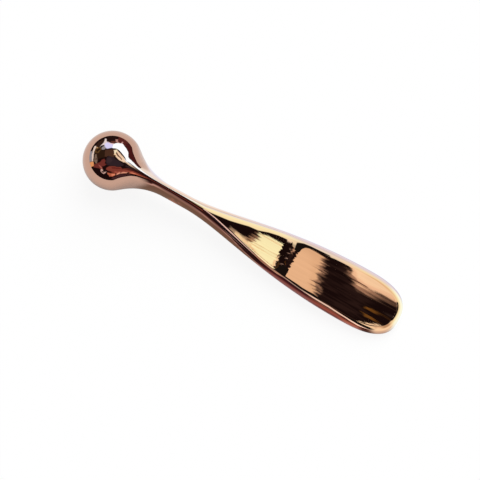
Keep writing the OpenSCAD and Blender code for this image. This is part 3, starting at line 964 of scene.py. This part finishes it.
def table_gleam():
    """A low trough round the wand on the table: on the +Y side the window's gleam on the table,
    and on the other side the wand's brown shade, with one pale line. Rows run round the outline,
    columns from the wand's edge out over the table and up."""
    x, y, nx, ny = (v[:, None] for v in side_line(SEAT_X))
    across, out, rise = TROUGH.T
    across = across + 0 * x
    neck = 1 - smooth_step(x, 22, 30)
    shade_wall = 2.2 + 2.5 * neck - 3.5 * (1 - smooth_step(x, 7.9, 8.9)) + 7 * smooth_step(x, 38, 44)
    top = BALL_R - x * sin(LIE) + height_at(x) + np.where(ny < 0, shade_wall, between(x, BRIGHT_WALL))
    height = TROUGH_FOOT + rise * (top - TROUGH_FOOT)
    points = np.stack([(x + out * nx) * cos(LIE) + SHIFT, y + out * ny, height], -1)
    light = painted(trough_shade(x, across, rise), trough_gleam(x, across), smooth_step(ny, -0.5, 0.3))
    tip = painted(by_place(across, TIP_BRIGHT), by_place(across, TIP_LOW), 1 - smooth_step(ny, -0.75, 0.05))
    front = np.where(ny < 0, smooth_step(nx, 0.25, 0.5), smooth_step(nx, 0.35, 0.9))
    light = painted(light, tip, front * smooth_step(x, 50, 55))
    alpha = np.where(ny < 0, smooth_step(x, 5.0, 8.0), smooth_step(x, 4.0, 5.8)) + 0 * across
    return clear_edged("table_gleam", points * MM, light, alpha)


# The strip over the -Y edge: (place along the wand, how far out from the flat's edge it starts,
# where its pale part ends, where its line starts, where it ends, how bright the line is)
EDGE_STRIP = np.array([
    (20.5, -0.5, -0.5, -0.45, 0.7, 0.9), (25.4, -0.6, -0.6, -0.45, 0.65, 1.4),
    (29.6, -0.75, -0.75, 0.2, 2.0, 1.1), (33.9, -0.45, 0.25, 1.2, 2.7, 0.82),
    (36.0, -0.45, 0.55, 1.4, 3.4, 0.6), (37.2, -0.5, 0.95, 1, 3.8, 0.5),
    (38.1, -0.5, 0.95, 1, 4.5, 0.45), (40.2, -0.5, 0.95, 1, 4, 0.45),
    (41.0, -0.5, 0.6, 0.9, 3.6, 0.5), (41.4, -0.5, -0.5, 0.85, 3.3, 0.55),
    (42.0, -2.3, -2.3, 0.8, 3.1, 0.65), (43.55, -2.3, -2.3, 0.6, 1.6, 0.6),
    (43.75, -0.6, -0.6, 0.55, 1.55, 0.6), (44.5, -0.6, -0.6, 0.5, 1.5, 0.6),
    (47.6, -0.55, -0.5, 0.95, 1.9, 0.5), (50.8, -0.9, -0.85, 0.55, 2, 1.15),
    (55.0, -0.3, -0.3, 0.05, 1.8, 1.1), (59.3, -0.3, -0.3, 1.4, 2.9, 1.3),
    (61.4, -0.3, -0.3, 2.4, 4.7, 1.45), (63.5, -0.2, 0.8, 4.2, 8.5, 1.5),
    (64.6, -0.2, 1.5, 5.5, 8.5, 1.5), (65.4, -0.2, 2.5, 6, 8, 0),
    (66.2, -0.2, 3.5, 6, 7.5, 0),
])

# How high over the faces the strip and the neck's shade are
EDGE_HEIGHT = 2.95
SHADE_HEIGHT = 3

# How many ribs the strip and the ribbon are cut into, the dark beside their lights, and the
# dark of the neck's shade
RIBS = 800
DARK = 0.012
NECK_DARK = (0.035, 0.014, 0.015)

# The colours of the strip's pale part and of its line: (place along the wand, colour)
EDGE_CREAM = [(42, (1.45, 1.85, 1.38)), (58, (1.28, 1.34, 1.02))]
EDGE_TINT = [(34, (0.97, 0.97, 1.05)), (38, (1.0, 0.7, 0.56)), (42.5, (1.0, 0.85, 0.72)),
             (46, (1.0, 1.05, 1.03))]


def edge_light():
    """A strip of painted light over the -Y edge of the flat faces, mirrored beside it: first the cream
    light that the faces mirror, where that runs on over the edge, then a dark gap, then a thin line
    of light."""
    _, nx, ny, _, edge_x, edge_y, _ = (v[:RIBS, None] for v in ribs(RIBS))
    keep = ((edge_x > EDGE_STRIP[0, 0]) & (edge_x < EDGE_STRIP[-1, 0]) & (edge_y > 0))[:, 0]
    nx, ny, edge_x, edge_y = (v[keep] for v in (nx, ny, edge_x, edge_y))
    start, pale, line, end, level = (np.interp(edge_x, EDGE_STRIP[:, 0], v) for v in EDGE_STRIP[:, 1:].T)
    out = start + (end - start) * np.linspace(0, 1, 49)
    height = height_at(edge_x) + EDGE_HEIGHT + 0 * out
    points = np.stack([edge_x + out * nx, -(edge_y + out * ny), height], -1)
    is_pale = (1 - smooth_step(out, pale - 0.1, pale + 0.1)) * (pale > start + 0.05)
    is_line = smooth_step(out, line - 0.1, line + 0.15) * level
    line_light = is_line[..., None] * by_place(edge_x, EDGE_TINT)
    light = painted(DARK + line_light, by_place(edge_x, EDGE_CREAM), is_pale)
    ends = smooth_step(edge_x, EDGE_STRIP[0, 0], 22) * (1 - smooth_step(edge_x, 65.5, 66.1))
    alpha = smooth_step(out, start, start + 0.1) * (1 - smooth_step(out, end - 0.15, end)) * ends
    return clear_edged("edge_light", laid(points), light, alpha)


def neck_shade():
    """A dark strip over the neck's crest, mirrored along it: from 3 mm beside the middle on the -Y
    side to about 1.9 mm on the other, in four columns, of which the outer two are clear."""
    x, across = np.meshgrid(np.linspace(5, 25, 140), [0, 0.04, 0.96, 1], indexing="ij")
    y = -3 + across * (4.85 + 0.2 * (1 - smooth_step(x, 9, 13)))
    points = np.stack([x, y, height_at(x) + SHADE_HEIGHT], -1)
    alpha = smooth_step(x, 5.5, 8) * (1 - smooth_step(x, 22, 25)) * (np.abs(across - 0.5) < 0.48)
    light = np.ones(x.shape + (3,)) * NECK_DARK
    return clear_edged("neck_shade", laid(points), light, alpha)


# The ribbon, by the place along the wand: how far in over the faces it reaches, and how far out
# its dark inner part goes beside the blade, which starts past DARK_X
RIBBON_REACH = [(17, 0), (26, 0.4), (28.2, 0.55), (30.3, 0.5), (32.4, 0.42), (34.5, 0.64), (36.7, 0.3),
                (38.8, 0.2), (40.9, 0.3), (41.9, 0.35), (42.15, 1.2), (42.6, 1.2), (42.7, 1.9),
                (43.8, 1.9), (44.0, 1.1), (44.6, 0.5), (45.5, 0.3), (47, 0.2), (50, 0.1), (51.5, 0),
                (61, 0), (64, 0.22)]
RIBBON_DARK = [(42.65, -3), (42.7, 0.4), (43.3, 0.9), (44.0, 1.9), (45.5, 2.0), (47.6, 1.4), (50, 0.9),
               (51.5, -3)]
DARK_X = 42.66

# How high over the faces it is, by how far out from the flat's edge, and where it ends
RIBBON_RISE = [(0.5, 2.65), (1.5, 2.9), (3.0, 2.9), (4.5, 2.6), (5.6, 1.9), (6.2, 1.0), (6.3, 0.2)]
RIBBON_OUT = 6.3

# The ribbon's colours beside the taper, the blade, the end and the tip, and at the tip's -Y side:
# (how far out from the flat's edge, colour). Then the nose's colour, how strong the brown lines
# are, and what they take of red, green and blue
ON_TAPER = [(0.5, (1.33, 1.68, 1.24)), (1.5, (1.36, 1.86, 1.38)), (4.6, (1.35, 1.9, 1.56)),
            (5.6, (1.16, 1.62, 1.85)), (6.3, (1.0, 1.45, 2.0))]
ON_BLADE = [(0.5, (1.1, 1.3, 1.2)), (2.4, (1.2, 1.56, 1.58)), (4.3, (1.0, 1.27, 1.45)),
            (6.3, (1.03, 1.33, 1.8))]
ON_END = [(0.5, (1.22, 1.2, 0.92)), (1.1, (1.25, 1.41, 1.0)), (2.4, (1.34, 1.68, 1.3)),
          (4.3, (1.2, 1.56, 1.55)), (6.3, (1.06, 1.43, 1.9))]
ON_TIP = [(0.5, (1.26, 1.4, 1.04)), (1.5, (1.28, 1.5, 1.1)), (2.6, (1.33, 1.76, 1.32)),
          (4.6, (1.36, 2.05, 1.85)), (6.3, (1.36, 2.2, 2.4))]
ON_LOW = [(0.5, (1.15, 1.1, 0.82)), (1.5, (1.36, 1.46, 1.12)), (5, (1.3, 1.36, 1.08)),
          (6.3, (1.0, 1.0, 0.82))]
ON_NOSE = (0.72, 0.62, 0.42)
BROWN_PART = 0.35
BROWN_LINES = np.array([0.35, 0.6, 0.8])


def ribbon_light(x, ny, edge_x, out):
    """The ribbon's cream, with faint brown lines along it, an arc round the end, and dark inner
    parts beside the blade and before the tip."""
    nose = smooth_step(-ny, 0, 0.15) * (1 - smooth_step(-ny, 0.6, 0.85)) * (1 - smooth_step(out, 1.6, 3.2))
    low = painted(by_place(out, ON_LOW), ON_NOSE, nose)
    tip = painted(by_place(out, ON_TIP), low, smooth_step(-ny, 0, 0.35))
    light = by_place(out, ON_TAPER)
    for start, end, after in (
        (38, 46, by_place(out, ON_BLADE)),
        (50, 58, by_place(out, ON_END)),
        (63, 67, tip),
    ):
        light = painted(light, after, smooth_step(x, start, end))
    streaks = smooth_step(streaky(x + 0 * out, out, 9.0, 0.35, 31), 0.3, 0.9)
    lines = BROWN_PART * streaks * (1 - smooth_step(out, 4, 5))
    arc = BROWN_PART * np.exp(-((out - 0.95) / 0.3) ** 2) * smooth_step(x, 57, 60)
    light = light * (1 - 0.45 * smooth_step(-out, -0.1, 0.4))[..., None]
    light = light * (1 - (lines + arc)[..., None] * BROWN_LINES)
    before_tip = smooth_step(ny, -0.25, 0.05) * (1 - smooth_step(ny, 0.7, 0.92)) * smooth_step(x, 65.5, 67)
    dark_to = np.maximum(between(edge_x, RIBBON_DARK), 4.5 * before_tip - 3)
    dark = (1 - smooth_step(out, dark_to - 0.2, dark_to + 0.2)) * (edge_x > DARK_X)
    return painted(light, DARK, dark)


def cream_ribbon():
    """A band of cream light over the +Y rim and round the tip, which the rim mirrors between the
    window's gleam and the flat faces. Rows are the ribs, columns run out from over the faces."""
    x, nx, ny, _, edge_x, edge_y, _ = (v[:RIBS] for v in ribs(RIBS))
    x, nx, edge_x = (np.concatenate([v, v[-2::-1]]) for v in (x, nx, edge_x))
    ny, edge_y = (np.concatenate([v, -v[-2::-1]]) for v in (ny, edge_y))
    there = np.arange(len(x)) < RIBS
    keep = (there & (x > 17)) | (~there & (x > 64.8))
    x, nx, ny, edge_x, edge_y, there = (v[keep][:, None] for v in (x, nx, ny, edge_x, edge_y, there))
    inner = 0.5 * ny + 0.3 * nx * (edge_x > 60) - between(edge_x, RIBBON_REACH)
    part = np.concatenate([[0, 0.02], np.linspace(0.05, 1, 32)])
    out = inner + (RIBBON_OUT - inner) * part
    height = height_at(edge_x) + between(out, RIBBON_RISE)
    points = np.stack([edge_x + out * nx, edge_y + out * ny, height], -1)
    ends = smooth_step(x, 17, 24) * np.where(there, 1, smooth_step(x, 65, 67))
    alpha = smooth_step(part, 0, 0.02) * ends
    return clear_edged("cream_ribbon", laid(points), ribbon_light(x, ny, edge_x, out), alpha)


table_top()
table_near()
room()
room_patch()
table_gleam()
edge_light()
neck_shade()
cream_ribbon()

# The lamp's width and strength, where its light comes from, in degrees as for the room's panels,
# and the sky's strength on what isn't a mirror
LAMP_WIDTH = radians(60)
LAMP_STRENGTH = 2.26
LAMP_FROM = np.array([20.0, 34.6])
SKY_STRENGTH = 0.45

lamp = bpy.data.objects.new("soft_lamp", bpy.data.lights.new("soft_lamp", "SUN"))
lamp.data.angle = LAMP_WIDTH
lamp.data.energy = LAMP_STRENGTH
lamp.visible_glossy = False
beam = towards(*LAMP_FROM)
lamp_x = unit(np.cross(overhead, beam))
lamp.matrix_world = Matrix(np.stack([lamp_x, np.cross(beam, lamp_x), beam], 1).tolist()).to_4x4()
bpy.context.collection.objects.link(lamp)

# A white sky to the camera and to mirrors
world = bpy.data.worlds.new("plain_light")
bpy.context.scene.world = world
world.use_nodes = True
tree = world.node_tree
sky = tree.nodes["Background"]
shown = math_node(tree, "MULTIPLY", math_node(tree, "MAXIMUM", *ray_kinds(tree)), 1 - SKY_STRENGTH)
sky.inputs["Color"].default_value = (1, 1, 1, 1)
tree.links.new(math_node(tree, "ADD", shown, SKY_STRENGTH), sky.inputs["Strength"])

bpy.context.scene.view_settings.view_transform = "Standard"
